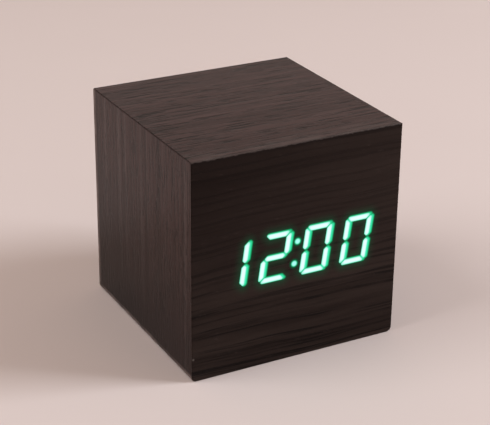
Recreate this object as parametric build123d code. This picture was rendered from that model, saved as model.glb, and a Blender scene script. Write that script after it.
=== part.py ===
from build123d import *
import math
import os

# A cube clock: boards wrapped in wood-grain film, figures that shine through the front film,
# and a back panel with a battery bay, three buttons and a power inlet.
# X runs to the right as seen from the front, Y to the back, Z up. Millimetres.
# The origin lies under the middle of the cube, in the plane it stands on.

# Case
board = 4.5
film = 0.3
bottom_edge_radius = 1.3
back_edge_radius = 0.8
front_edge_radius = 0.25
seam_width = 0.3
seam_depth = 0.5

# Figures of the display
reading = "1200"
digit_height = 14.2
digit_width = 8.4
segment_width = 1.5
segment_gap = 0.35
corner_cut = 1.0
tip_cut = 0.6
digit_pitch = 12.7
digit_slant = 8.0
colon_rise = 3.25
colon_dot = 1.7
display_shift = -0.55
display_lift = 0.2

# Display parts
reflector_side_rim = 1.1
reflector_top_rim = 2.4
window_clearance = 0.15
diffuser = 0.3
cavity_draft = 4.0
circuit_board = 1.6
display_board_margin = 1.0
display_board_rim = 6.5
light_length = 1.4
light_gap = 0.05
light_height = 0.6
chip_length = 17.9
chip_width = 7.5
chip_height = 2.3
chip_leg = 0.42
chip_leg_pitch = 1.27
chip_legs = 14
crystal_diameter = 2.0
crystal_length = 6.0
buzzer_diameter = 12.0
buzzer_height = 8.5
buzzer_hole = 2.0
resistor_length = 2.0
resistor_width = 1.25
resistor_height = 0.55
resistor_count = 8
resistor_pitch = 3.2

# Ribbon cable
header_length = 12.0
header_width = 4.2
header_height = 5.5
ribbon_width = 10.2
ribbon_thickness = 0.9
ribbon_bend = 5.0

# Screws
panel_screw_head = 3.8
panel_screw_head_height = 1.2
panel_screw_shank = 2.2
panel_screw_length = 9.0
small_screw_head = 3.2
small_screw_head_height = 1.0
small_screw_shank = 1.6
small_screw_length = 4.6
screw_hole_clearance = 0.2
thread_clearance = 0.05
pilot_spare = 0.6

# Back panel
panel = 2.0
panel_recess = 1.5
panel_clearance = 0.2
panel_corner_radius = 1.0
panel_strip = 1.65
corner_block = 5.4
corner_block_length = 14.0
corner_block_bevel = 1.6
block_gap = 0.4
top_margin = 1.2

# Cells and battery bay
cell_diameter = 10.5
cell_length = 44.5
cell_nub_diameter = 3.8
cell_nub = 1.0
cell_base_diameter = 7.0
cell_base = 0.2
cell_shoulder = 0.5
cell_gap = 0.4
cell_side_room = 0.6
cell_floor_gap = 0.2
cell_door_gap = 0.75
bay_wall = 1.2
saddle_width = 1.6
saddle_place = 9.0
saddle_clearance = 0.25
contact = 0.4
contact_width = 9.0
contact_height = 9.5
contact_tail = 2.0
contact_tail_reach = 1.6
tail_clearance = 0.2
spring_length = 3.6
spring_wire = 0.5
spring_base_diameter = 6.4
spring_tip_diameter = 4.4
spring_turns = 2.5
lead_diameter = 1.2
lead_stub = 3.2
lead_bend = 1.6
lead_place = 3.0

# Battery door
door = 1.6
door_clearance = 0.2
door_ledge = 0.6
door_opening = 70.0
tongue_width = 8.0
tongue_place = 12.0
tongue = 1.0
tongue_reach = 2.0
tongue_root = 1.2
tongue_room = 0.5
latch_width = 10.0
latch_length = 8.0
latch_slit = 0.8
latch_nose = 0.7
latch_nose_depth = 1.0
latch_ridge = 0.4
latch_ridge_width = 0.7
latch_ridge_pitch = 1.5
door_rib = 1.2
door_rib_place = 18.5
door_rib_room = 0.3
scoop_radius = 6.0
scoop_depth = 1.0
scoop_reach = 3.0

# Buttons and control board
button_diameter = 5.0
button_clearance = 0.15
button_height = 1.0
button_dish = 0.3
button_flange = 0.8
button_flange_diameter = 7.0
button_play = 0.2
button_stem = 0.5
button_stem_diameter = 3.0
button_travel = 0.3
button_pitch = 8.0
button_well = 0.4
button_well_diameter = 7.4
switch_width = 6.0
switch_height = 3.5
plunger_diameter = 3.5
plunger_clearance = 0.2
plunger_rise = 0.8
plunger_length = 1.4
plunger_room = 0.3
control_gap = 0.6
control_height = 11.2
part_gap = 0.5
post_diameter = 3.2
post_inset = 2.0
post_room = 0.3
microphone_diameter = 4.5
microphone_height = 2.2
microphone_hole = 1.2

# Power inlet
inlet_width = 6.4
inlet_depth = 10.5
inlet_flange = 7.4
inlet_flange_thickness = 0.8
inlet_boss_diameter = 6.0
inlet_clearance = 0.1
inlet_setback = 0.2
inlet_bore = 3.6
inlet_bore_depth = 9.0
inlet_pin = 1.3
inlet_pin_length = 8.0
inlet_pin_root = 2.0
inlet_pin_root_diameter = 1.8
inlet_leaf = 0.3
inlet_leaf_width = 1.6
inlet_leaf_length = 6.0

# Sizes that follow from those above
slope = math.tan(math.radians(digit_slant))
reflector_length = 3 * digit_pitch + digit_width + slope * digit_height + 2 * reflector_side_rim
reflector_height = digit_height + 2 * reflector_top_rim
cavity_narrowing = (board - diffuser) * math.tan(math.radians(cavity_draft))
light_width = segment_width - 2 * (cavity_narrowing + light_gap) - slope * light_length
dot_light = (colon_dot - 2 * cavity_narrowing) / math.sqrt(2) - 2 * light_gap
display_board_height = reflector_height + 2 * display_board_rim
cell_pitch = cell_diameter + cell_gap
bay_half = (cell_length + spring_length + 2 * contact) / 2
bay_height = cell_diameter + 2 * cell_pitch + 2 * cell_side_room
row_width = 2 * button_pitch + switch_width + 2 * part_gap + microphone_diameter + inlet_flange

# The case is a cube around the widest of what it holds: the battery bay with a strip of panel on
# each side, the blocks, bay and control board above each other, the display, and the row of buttons
bay_stack = corner_block + block_gap + bay_height + 2 * bay_wall
control_stack = control_gap + control_height + top_margin + panel_clearance
control_half = row_width / 2 + post_room + post_diameter / 2 + post_inset
inside = 0.5 * max(
    2 * (bay_half + bay_wall + panel_strip + panel_clearance),
    bay_stack + control_stack,
    reflector_length + 2 * (abs(display_shift) + window_clearance),
    2 * (control_half + block_gap + corner_block),
)
half = inside + board
cube_edge = 2 * half

film_back = film - half
front_inner = film_back + board
display_z = half + display_lift
display_board_back = front_inner + circuit_board
panel_face = half - panel_recess
panel_inner = panel_face - panel
panel_half = inside - panel_clearance
bay_bottom = board + corner_block + block_gap + bay_wall
bay_top = bay_bottom + bay_height
door_inner = panel_face - door
ledge_y = door_inner - door_clearance
cell_y = door_inner - cell_door_gap - cell_diameter / 2
bay_floor = cell_y - cell_diameter / 2 - cell_floor_gap
bay_floor_outer = bay_floor - bay_wall
hinge_y = panel_face - door / 2
hinge_z = bay_bottom - door_ledge + door_clearance + door / 2
door_top = bay_top + door_ledge - door_clearance
door_half = bay_half + door_ledge - door_clearance
control_high = cube_edge - board - panel_clearance - top_margin
control_low = control_high - control_height
row_z = control_high - control_height / 2
standoff = button_play + button_flange + button_stem + plunger_rise + switch_height
control_back = panel_inner - standoff
control_front = control_back - circuit_board
post_x = control_half - post_inset
post_z = control_low + post_inset
set_x = switch_width / 2 - row_width / 2
button_places = {name: set_x + i * button_pitch for i, name in enumerate(["set", "up", "down"])}
microphone_x = button_places["down"] + switch_width / 2 + part_gap + microphone_diameter / 2
inlet_x = microphone_x + microphone_diameter / 2 + part_gap + inlet_flange / 2
header_x = -inside / 2 + part_gap
display_header_z = display_z + display_board_height / 2 - header_width
panel_screw_x = inside - corner_block / 2
panel_screw_heights = [board + corner_block / 2, cube_edge - board - corner_block / 2]
display_screw_x = inside - display_board_margin - small_screw_head
display_screw_drop = (reflector_height + display_board_rim) / 2

lit_segments = {
    "0": "abcdef",
    "1": "bc",
    "2": "abdeg",
    "3": "abcdg",
    "4": "bcfg",
    "5": "acdfg",
    "6": "acdefg",
    "7": "abc",
    "8": "abcdefg",
    "9": "abcdfg",
}
digit_names = ["hours_tens_digit", "hours_units_digit", "minutes_tens_digit", "minutes_units_digit"]
colon_centres = [
    (display_shift + slope * side * colon_rise, display_z + side * colon_rise) for side in (-1, 1)
]


def slab(sketch, front, back):
    """A shape drawn in X and Z as seen from the front, made solid from y = front to y = back."""
    plane = Plane(origin=(0, back, 0), x_dir=(1, 0, 0), z_dir=(0, -1, 0))
    return extrude(plane * sketch, amount=back - front, dir=(0, -1, 0))


def rod(x, z, diameter, front, back):
    return slab(Pos(x, z) * Circle(diameter / 2), front, back)


def block(x0, x1, y0, y1, z0, z1):
    return Pos((x0 + x1) / 2, (y0 + y1) / 2, (z0 + z1) / 2) * Box(x1 - x0, y1 - y0, z1 - z0)


def group(pieces):
    return Compound(children=[solid for piece in pieces for solid in piece.solids()])


def rounded_cube():
    cube = Pos(0, 0, half) * Box(cube_edge, cube_edge, cube_edge)
    cube = fillet(cube.edges().filter_by(Axis.Y).group_by(Axis.Z)[0], bottom_edge_radius)
    cube = fillet(cube.faces().sort_by(Axis.Y)[-1].edges(), back_edge_radius)
    return fillet(cube.faces().sort_by(Axis.Y)[0].edges(), front_edge_radius)


def front_wedge():
    """The front board before its window: mitred on all four edges."""
    outer = Plane(origin=(0, film_back, half), x_dir=(1, 0, 0), z_dir=(0, 1, 0))
    inner = Plane(origin=(0, front_inner, half), x_dir=(1, 0, 0), z_dir=(0, 1, 0))
    return loft([outer * Rectangle(cube_edge, cube_edge), inner * Rectangle(2 * inside, 2 * inside)])


def side_board(cube, turn):
    """The top board, turned about the middle of the cube to make each of the four."""
    outline = Polygon((-half, half), (half, half), (inside, inside), (-inside, inside), align=None)
    wall = Pos(0, 0, half) * Rot(0, turn, 0) * slab(outline, film_back, half)
    wall = (wall & cube) - front_wedge()
    for side in (-1, 1):
        seam = Rot(0, 45 * side, 0) * Box(seam_width, cube_edge, 2 * seam_depth)
        wall -= Pos(side * half, film, cube_edge) * seam
    return wall


def front_board(cube):
    window = Rectangle(reflector_length + 2 * window_clearance, reflector_height + 2 * window_clearance)
    panel_blank = front_wedge() & cube
    panel_blank -= slab(Pos(display_shift, display_z) * window, film_back, front_inner)
    for x, z in display_screw_places():
        pilot = small_screw_shank + 2 * thread_clearance
        depth = small_screw_length - circuit_board + pilot_spare
        panel_blank -= rod(x, z, pilot, front_inner - depth, front_inner)
    return panel_blank


def top_segment():
    """Outline of the top segment of a figure, with the figure's two outer corners cut."""
    w, h, t = digit_width / 2, digit_height / 2, segment_width
    g = segment_gap / math.sqrt(2)
    left, right = corner_cut, tip_cut
    left_tip = (-w + (left + g) / 2, h - (left - g) / 2)
    right_tip = (w - (right + g) / 2, h - (right - g) / 2)
    return [(-w + left, h), (w - right, h), right_tip, (w - t - g, h - t), (-w + t + g, h - t), left_tip]


def upper_side_segment(cut):
    """Outline of the upper right segment, with the figure's outer corner cut."""
    w, h, t = digit_width / 2, digit_height / 2, segment_width
    g = segment_gap / math.sqrt(2)
    tip = (w - (cut - g) / 2, h - (cut + g) / 2)
    return [(w, h - cut), (w, t / 2 + g), (w - t / 2, g), (w - t, t / 2 + g), (w - t, h - t - g), tip]


def upper_right_segment():
    return upper_side_segment(tip_cut)


def upper_left_segment():
    return [(-x, z) for x, z in upper_side_segment(corner_cut)]


def middle_segment():
    w, t = digit_width / 2, segment_width
    g = segment_gap / math.sqrt(2)
    right = [(w - t - g, t / 2), (w - t / 2 - g, 0), (w - t - g, -t / 2)]
    return right + [(-x, z) for x, z in reversed(right)]


def half_turn(outline):
    return [(-x, -z) for x, z in outline]


def segment_faces(place):
    """The seven leaning segments, a to g, of the figure at a place from 0 to 3."""
    outlines = {"a": top_segment(), "b": upper_right_segment(), "f": upper_left_segment()}
    outlines["g"] = middle_segment()
    outlines["d"] = half_turn(outlines["a"])
    outlines["e"] = half_turn(outlines["b"])
    outlines["c"] = half_turn(outlines["f"])
    middle_x = display_shift + (place - 1.5) * digit_pitch
    faces = {}
    for name, outline in outlines.items():
        points = [(middle_x + x + slope * z, display_z + z) for x, z in outline]
        faces[name] = Polygon(*points, align=None)
    return faces


def colon_faces():
    return [Pos(x, z) * Circle(colon_dot / 2) for x, z in colon_centres]


def lit_figures():
    """The bright areas of the front film, one group for each figure and one for the colon."""
    figures = {}
    for place, name in enumerate(digit_names):
        faces = segment_faces(place)
        figures[name] = group([slab(faces[s], -half, film_back) for s in lit_segments[reading[place]]])
    figures["colon_dots"] = group([slab(face, -half, film_back) for face in colon_faces()])
    return figures


def front_film(cube, figures):
    sheet = slab(Pos(0, half) * Rectangle(cube_edge, cube_edge), -half, film_back) & cube
    for figure in figures.values():
        sheet -= figure.solids()
    return sheet


def display_reflector():
    """White block with a leaning, mitred cavity behind every segment and both dots.

    Each cavity narrows from the front to the light at its back.
    """
    front = film_back + diffuser
    outline = Pos(display_shift, display_z) * Rectangle(reflector_length, reflector_height)
    faces = [face for place in range(len(digit_names)) for face in segment_faces(place).values()]
    plane = Plane(origin=(0, front, 0), x_dir=(1, 0, 0), z_dir=(0, -1, 0))
    depth = front_inner - front
    body = slab(outline, front, front_inner)
    for face in faces + colon_faces():
        body -= extrude(plane * face, amount=depth, dir=(0, 1, 0), taper=cavity_draft)
    return body


def diffuser_sheet():
    outline = Pos(display_shift, display_z) * Rectangle(reflector_length, reflector_height)
    return slab(outline, film_back, film_back + diffuser)


def segment_lights():
    lights = []
    for place in range(len(digit_names)):
        for name, face in segment_faces(place).items():
            centre = face.center()
            chip = Rectangle(light_length, light_width)
            if name in "bcef":
                chip = Rectangle(light_width, light_length)
            lights.append(slab(Pos(centre.X, centre.Y) * chip, front_inner - light_height, front_inner))
    for x, z in colon_centres:
        chip = Pos(x, z) * Rectangle(dot_light, dot_light)
        lights.append(slab(chip, front_inner - light_height, front_inner))
    return group(lights)


def display_screw_places():
    heights = [display_z - display_screw_drop, display_z + display_screw_drop]
    return [(x, z) for x in (-display_screw_x, display_screw_x) for z in heights]


def display_board():
    outline = Rectangle(2 * (inside - display_board_margin), display_board_height)
    plate = slab(Pos(0, display_z) * outline, front_inner, display_board_back)
    for x, z in display_screw_places():
        plate -= rod(x, z, small_screw_shank + 2 * screw_hole_clearance, front_inner, display_board_back)
    return plate


def screw(head, head_height, shank, length):
    """A pan-head screw that points to the front; the underside of its head is at y = 0."""
    body = rod(0, 0, head, 0, head_height)
    body = fillet(body.faces().sort_by(Axis.Y)[-1].edges(), head_height / 3)
    body += rod(0, 0, shank, -length, 0)
    for angle in (45, 135):
        slot = Rot(0, angle, 0) * Box(head * 0.6, head_height, head * 0.14)
        body -= Pos(0, head_height, 0) * slot
    return body


def small_screw():
    return screw(small_screw_head, small_screw_head_height, small_screw_shank, small_screw_length)


def display_screws():
    return group([Pos(x, display_board_back, z) * small_screw() for x, z in display_screw_places()])


def controller_chip():
    """A flat chip with a row of bent legs along its upper and lower edges."""
    lift = chip_height / 10
    low = display_board_back
    middle_x, middle_z = -inside / 4, half - header_width
    long, wide = chip_length / 2, chip_width / 2
    body = block(-long, long, low + lift, low + chip_height, -wide, wide)
    for side in (-1, 1):
        for i in range(chip_legs):
            x = (i - (chip_legs - 1) / 2) * chip_leg_pitch
            left, right = x - chip_leg / 2, x + chip_leg / 2
            edge, knee, tip = [side * (wide + share * chip_leg_pitch) for share in (0, 0.5, 1)]
            body += block(left, right, low, low + chip_height / 2, min(edge, knee), max(edge, knee))
            body += block(left, right, low, low + chip_leg, min(knee, tip), max(knee, tip))
    return Pos(middle_x, 0, middle_z) * body


def watch_crystal():
    can = Rot(0, 90, 0) * Cylinder(crystal_diameter / 2, crystal_length)
    wire = chip_leg / 2
    for side in (-1, 1):
        leg = Rot(0, 90, 0) * Cylinder(wire, crystal_diameter)
        can += Pos(crystal_length / 2 + crystal_diameter / 2, 0, side * crystal_diameter / 4) * leg
    return Pos(inside / 3, display_board_back + crystal_diameter / 2, half - header_width) * can


def buzzer():
    x, z = inside / 2, half + buzzer_diameter / 2
    top = display_board_back + buzzer_height
    can = rod(x, z, buzzer_diameter, display_board_back, top)
    can = fillet(can.faces().sort_by(Axis.Y)[-1].edges(), buzzer_hole / 4)
    return can - rod(x, z, buzzer_hole, top - buzzer_height / 2, top)


def segment_resistors():
    chips = []
    z = display_z - display_screw_drop
    for i in range(resistor_count):
        x = (i - (resistor_count - 1) / 2) * resistor_pitch
        outline = Pos(x, z) * Rectangle(resistor_width, resistor_length)
        chips.append(slab(outline, display_board_back, display_board_back + resistor_height))
    return group(chips)


def header(z, front, back):
    shell = slab(Pos(header_x, z) * Rectangle(header_length, header_width), front, back)
    return fillet(shell.edges().filter_by(Axis.Y), header_width / 8)


def ribbon_cable():
    """A flat cable that leaves both headers straight and rises in one smooth step between them."""
    start = display_board_back + header_height
    end = control_front - header_height
    third = (end - start) / 3
    line = FilletPolyline(
        (start, display_header_z),
        (start + third, display_header_z),
        (end - third, row_z),
        (end, row_z),
        radius=ribbon_bend,
    )
    side_view = Plane(origin=(header_x - ribbon_width / 2, 0, 0), x_dir=(0, 1, 0), z_dir=(1, 0, 0))
    return extrude(side_view * trace(line, ribbon_thickness), amount=ribbon_width)


def corner_blocks():
    """Four glued blocks, bevelled on the edge that faces the middle of the case."""
    blocks = []
    for side in (-1, 1):
        for z, up in zip(panel_screw_heights, (1, -1)):
            x = side * panel_screw_x
            outline = Pos(x, z) * Rectangle(corner_block, corner_block)
            piece = slab(outline, panel_inner - corner_block_length, panel_inner)
            inner_edge = piece.edges().filter_by(Axis.Y).sort_by_distance((0, panel_inner, half))[0]
            piece = chamfer(inner_edge, corner_block_bevel)
            pilot = panel_screw_shank + 2 * thread_clearance
            depth = panel_screw_length - panel + pilot_spare
            blocks.append(piece - rod(x, z, pilot, panel_inner - depth, panel_inner))
    return group(blocks)


def panel_screws():
    one = screw(panel_screw_head, panel_screw_head_height, panel_screw_shank, panel_screw_length)
    places = [(x, z) for x in (-panel_screw_x, panel_screw_x) for z in panel_screw_heights]
    return group([Pos(x, panel_face, z) * one for x, z in places])


def bay_shell():
    """The battery bay's floor and walls, before the door and its tongues are let in."""
    outer = bay_half + bay_wall
    shell = block(-outer, outer, bay_floor_outer, panel_inner, bay_bottom - bay_wall, bay_top + bay_wall)
    return shell - block(-bay_half, bay_half, bay_floor, panel_inner, bay_bottom, bay_top)


def cell_places():
    """Height of each cell's axis, and the side that its nub points to."""
    lowest = bay_bottom + cell_side_room + cell_diameter / 2
    return [(lowest + i * cell_pitch, 1 if i % 2 == 0 else -1) for i in range(3)]


def cell_saddles():
    """Two ribs across the bay floor, hollowed to the curve of the cells."""
    ribs = None
    for side in (-1, 1):
        x = side * saddle_place
        rib = block(x - saddle_width / 2, x + saddle_width / 2, bay_floor, cell_y, bay_bottom, bay_top)
        for z, nub_side in cell_places():
            hollow = Rot(0, 90, 0) * Cylinder(cell_diameter / 2 + saddle_clearance, 2 * saddle_width)
            rib -= Pos(x, cell_y, z) * hollow
        ribs = rib if ribs is None else ribs + rib
    return ribs


def tail_slots():
    """Slots in the bay floor for the tails of the two end contacts."""
    slots = []
    for x, z in terminal_places():
        wide, tall = contact / 2 + tail_clearance, contact_tail / 2 + tail_clearance
        slots.append(block(x - wide, x + wide, bay_floor_outer, bay_floor, z - tall, z + tall))
    return slots


def terminal_places():
    """Middle of the positive end contact, then of the negative one."""
    x = bay_half - contact / 2
    return [(x, cell_places()[0][0]), (-x, cell_places()[2][0])]


def back_panel():
    outline = RectangleRounded(2 * panel_half, 2 * panel_half, panel_corner_radius)
    body = slab(Pos(0, half) * outline, panel_inner, panel_face)
    body -= block(-bay_half, bay_half, panel_inner, panel_face, bay_bottom, bay_top)
    rim = bay_half + door_ledge
    body -= block(-rim, rim, ledge_y, panel_face, bay_bottom - door_ledge, bay_top + door_ledge)
    body += bay_shell()
    body += cell_saddles()
    for slot in tail_slots():
        body -= slot
    wide = tongue_width / 2 + tongue_room
    deep = math.hypot(hinge_y - panel_inner + door_clearance + tongue, tongue_reach) + tongue_room
    for x in (-tongue_place, tongue_place):
        body -= block(x - wide, x + wide, hinge_y - deep, panel_inner, bay_bottom - bay_wall, bay_bottom)
    scoop = Pos(0, panel_face + scoop_radius - scoop_depth, bay_top + door_ledge) * Sphere(scoop_radius)
    scoop &= block(-half, half, ledge_y, panel_face, bay_top, bay_top + door_ledge + scoop_reach)
    body -= scoop
    for x in (-post_x, post_x):
        body += rod(x, post_z, post_diameter, control_back, panel_inner)
        pilot = small_screw_shank + 2 * thread_clearance
        depth = small_screw_length - circuit_board + pilot_spare
        body -= rod(x, post_z, pilot, control_back, control_back + depth)
    for x in button_places.values():
        body -= rod(x, row_z, button_diameter + 2 * button_clearance, panel_inner, panel_face)
        body -= rod(x, row_z, button_well_diameter, panel_face - button_well, panel_face)
    body -= rod(microphone_x, row_z, microphone_hole, panel_inner, panel_face)
    body -= rod(inlet_x, row_z, inlet_boss_diameter + 2 * inlet_clearance, panel_inner, panel_face)
    for x in (-panel_screw_x, panel_screw_x):
        for z in panel_screw_heights:
            body -= rod(x, z, panel_screw_shank + 2 * screw_hole_clearance, panel_inner, panel_face)
    return body


def cell():
    """A cell along X with its base at x = 0 and its nub to the right."""
    r, tube_end = cell_diameter / 2, cell_length - cell_nub
    base = cell_base_diameter / 2
    profile = Polygon(
        (0, 0),
        (0, base),
        (cell_base, base),
        (cell_base, r - cell_shoulder),
        (cell_base + cell_shoulder, r),
        (tube_end - cell_shoulder, r),
        (tube_end, r - cell_shoulder),
        (tube_end, cell_nub_diameter / 2),
        (cell_length, cell_nub_diameter / 2),
        (cell_length, 0),
        align=None,
    )
    return revolve(profile, axis=Axis.X)


def cells():
    made = []
    for z, nub_side in cell_places():
        base_x = bay_half - contact - cell_length
        turn = 0 if nub_side > 0 else 180
        made.append(Pos(0, cell_y, z) * Rot(0, 0, turn) * Pos(base_x, 0, 0) * cell())
    return made


def contact_plate(side, low, high):
    inner, outer = side * (bay_half - contact), side * bay_half
    return block(min(inner, outer), max(inner, outer), bay_floor, bay_floor + contact_height, low, high)


def bridge_contacts():
    """Each joins the base of one cell to the nub of the next."""
    heights = [z for z, nub_side in cell_places()]
    reach = contact_width / 2
    left = contact_plate(-1, heights[0] - reach, heights[1] + reach)
    right = contact_plate(1, heights[1] - reach, heights[2] + reach)
    return group([left, right])


def terminal_contacts():
    plates = []
    for x, z in terminal_places():
        plate = contact_plate(1 if x > 0 else -1, z - contact_width / 2, z + contact_width / 2)
        low = bay_floor_outer - contact_tail_reach
        thick, wide = contact / 2, contact_tail / 2
        plates.append(plate + block(x - thick, x + thick, low, bay_floor, z - wide, z + wide))
    return group(plates)


def coil_path(length):
    """A narrowing coil along X from x = 0, drawn as pairs of arcs that meet smoothly."""
    steps = round(4 * spring_turns)
    base, tip = spring_base_diameter / 2, spring_tip_diameter / 2
    narrowing = (tip - base) / (steps * math.pi / 2)
    advance = length / (steps * math.pi / 2)

    def station(k):
        angle = k * math.pi / 2
        r = base + narrowing * angle
        c, s = math.cos(angle), math.sin(angle)
        point = Vector(advance * angle, r * c, r * s)
        heading = Vector(advance, narrowing * c - r * s, narrowing * s + r * c).normalized()
        return point, heading

    arcs = []
    for k in range(steps):
        p0, t0 = station(k)
        p1, t1 = station(k + 1)
        chord, bend = p1 - p0, t0 + t1
        a, b = 2 * (1 - t0.dot(t1)), chord.dot(bend)
        reach = (math.sqrt(b * b + a * chord.dot(chord)) - b) / a
        joint = (p0 + p1 + (t0 - t1) * reach) * 0.5
        heading = ((p1 - t1 * reach) - (p0 + t0 * reach)).normalized()
        arcs.append(Edge.make_tangent_arc(p0, t0, joint))
        arcs.append(Edge.make_tangent_arc(joint, heading, p1))
    return Wire(arcs)


def least_coil_gap(path):
    """Least free space between the turns of a coil, measured on points along its path."""
    count = 40 * round(4 * spring_turns)
    points = [path @ (i / count) for i in range(count + 1)]
    near = 80
    pairs = [(a, b) for i, a in enumerate(points) for b in points[i + near :]]
    return min((a - b).length for a, b in pairs) - spring_wire


def cell_springs():
    """A narrowing coil between each cell's base and the contact behind it."""
    path = coil_path(spring_length - spring_wire)
    section = Plane(origin=path @ 0, z_dir=path % 0) * Circle(spring_wire / 2)
    coil = sweep(section, path=path)
    print("least gap in a spring", round(least_coil_gap(path), 3))
    springs = []
    for z, nub_side in cell_places():
        start = contact + spring_wire / 2 - bay_half
        turn = 0 if nub_side > 0 else 180
        springs.append(Pos(0, cell_y, z) * Rot(0, 0, turn) * Pos(start, 0, 0) * coil)
    return group(springs)


def lead(start_x, start_z, end_x):
    """A wire from the tail of an end contact, in front of the bay, up to the control board."""
    start_y = bay_floor_outer - contact_tail_reach
    deep = start_y - lead_stub
    end_z = control_low + post_inset
    points = [
        (start_x, start_y, start_z),
        (start_x, deep, start_z),
        (end_x, deep, end_z),
        (end_x, control_front, end_z),
    ]
    path = FilletPolyline(*points, radius=lead_bend)
    section = Plane(origin=points[0], z_dir=(0, -1, 0)) * Circle(lead_diameter / 2)
    return sweep(section, path=path)


def battery_door():
    """Plate with a round lower edge on the hinge line, two tongues under the rim and a latch tab."""
    plate = block(-door_half, door_half, door_inner, panel_face, hinge_z, door_top)
    plate += Pos(0, hinge_y, hinge_z) * Rot(0, 90, 0) * Cylinder(door / 2, 2 * door_half)
    outer = panel_inner - door_clearance
    inner = outer - tongue
    for x in (-tongue_place, tongue_place):
        left, right = x - tongue_width / 2, x + tongue_width / 2
        plate += block(left, right, inner, outer, hinge_z - tongue_reach, hinge_z + tongue_root)
        plate += block(left, right, inner, hinge_y, hinge_z, hinge_z + tongue_root)
    for side in (-1, 1):
        x = side * (latch_width + latch_slit) / 2
        left, right = x - latch_slit / 2, x + latch_slit / 2
        plate -= block(left, right, door_inner, panel_face, door_top - latch_length, door_top)
        rib_x = side * door_rib_place
        left, right = rib_x - door_rib / 2, rib_x + door_rib / 2
        rib_front = door_inner - cell_door_gap + door_rib_room
        plate += block(left, right, rib_front, door_inner, hinge_z + tongue_root, bay_top - cell_side_room)
    reach = latch_width / 2 - latch_slit
    for i in range(3):
        z = door_top - latch_ridge_pitch * (i + 1)
        ridge_low, ridge_high = z - latch_ridge_width / 2, z + latch_ridge_width / 2
        plate += block(-reach, reach, panel_face, panel_face + latch_ridge, ridge_low, ridge_high)
    nose_top = bay_top - door_clearance
    nose = block(-reach, reach, door_inner - latch_nose_depth, door_inner, nose_top - latch_nose, nose_top)
    return plate + nose


def button(x):
    flange_back = panel_inner - button_play
    flange_front = flange_back - button_flange
    top = panel_face + button_height
    cap = rod(x, row_z, button_diameter, flange_back, top)
    cap = fillet(cap.faces().sort_by(Axis.Y)[-1].edges(), button_dish)
    dish_radius = (button_diameter * button_diameter / 16 + button_dish * button_dish) / (2 * button_dish)
    cap -= Pos(x, top + dish_radius - button_dish, row_z) * Sphere(dish_radius)
    cap += rod(x, row_z, button_flange_diameter, flange_front, flange_back)
    return cap + rod(x, row_z, button_stem_diameter, flange_front - button_stem, flange_front)


def plunger(x):
    top = control_back + switch_height + plunger_rise
    return rod(x, row_z, plunger_diameter, top - plunger_length, top)


def switch_bodies():
    bodies = []
    for x in button_places.values():
        outline = Pos(x, row_z) * Rectangle(switch_width, switch_width)
        body = slab(outline, control_back, control_back + switch_height)
        bore = plunger_diameter + 2 * plunger_clearance
        depth = plunger_length - plunger_rise + button_travel + plunger_room
        top = control_back + switch_height
        bodies.append(body - rod(x, row_z, bore, top - depth, top))
    return group(bodies)


def control_board():
    plate = block(-control_half, control_half, control_front, control_back, control_low, control_high)
    for x in (-post_x, post_x):
        plate -= rod(x, post_z, small_screw_shank + 2 * screw_hole_clearance, control_front, control_back)
    side = inlet_width + 2 * inlet_clearance
    return plate - slab(Pos(inlet_x, row_z) * Rectangle(side, side), control_front, control_back)


def control_screws():
    one = Rot(0, 0, 180) * small_screw()
    return group([Pos(x, control_front, post_z) * one for x in (-post_x, post_x)])


def microphone():
    return rod(microphone_x, row_z, microphone_diameter, control_back, control_back + microphone_height)


def inlet_housing():
    mouth = panel_face - inlet_setback
    bore_end = mouth - inlet_bore_depth
    back = panel_inner - inlet_clearance
    body = slab(Pos(inlet_x, row_z) * Rectangle(inlet_width, inlet_width), back - inlet_depth, back)
    flange = Rectangle(inlet_flange, inlet_flange)
    body += slab(Pos(inlet_x, row_z) * flange, control_back, control_back + inlet_flange_thickness)
    body += rod(inlet_x, row_z, inlet_boss_diameter, back, mouth)
    body -= rod(inlet_x, row_z, inlet_bore, bore_end, mouth)
    socket = inlet_pin_root_diameter + 2 * thread_clearance
    body -= rod(inlet_x, row_z, socket, bore_end - inlet_pin_root, bore_end)
    low, high = inlet_leaf_span()
    side = inlet_leaf_width / 2
    return body - block(inlet_x - side, inlet_x + side, bore_end, bore_end + inlet_leaf_length, low, row_z)


def inlet_leaf_span():
    """The leaf lies in a groove under the bore, just outside the bore's own circle."""
    high = row_z - inlet_bore / 2
    return high - inlet_leaf, high


def inlet_pin_piece():
    bore_end = panel_face - inlet_setback - inlet_bore_depth
    pin = rod(inlet_x, row_z, inlet_pin, bore_end, bore_end + inlet_pin_length)
    pin = fillet(pin.faces().sort_by(Axis.Y)[-1].edges(), inlet_pin / 4)
    return pin + rod(inlet_x, row_z, inlet_pin_root_diameter, bore_end - inlet_pin_root, bore_end)


def inlet_leaf_piece():
    bore_end = panel_face - inlet_setback - inlet_bore_depth
    low, high = inlet_leaf_span()
    side = inlet_leaf_width / 2
    return block(inlet_x - side, inlet_x + side, bore_end, bore_end + inlet_leaf_length, low, high)


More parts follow.
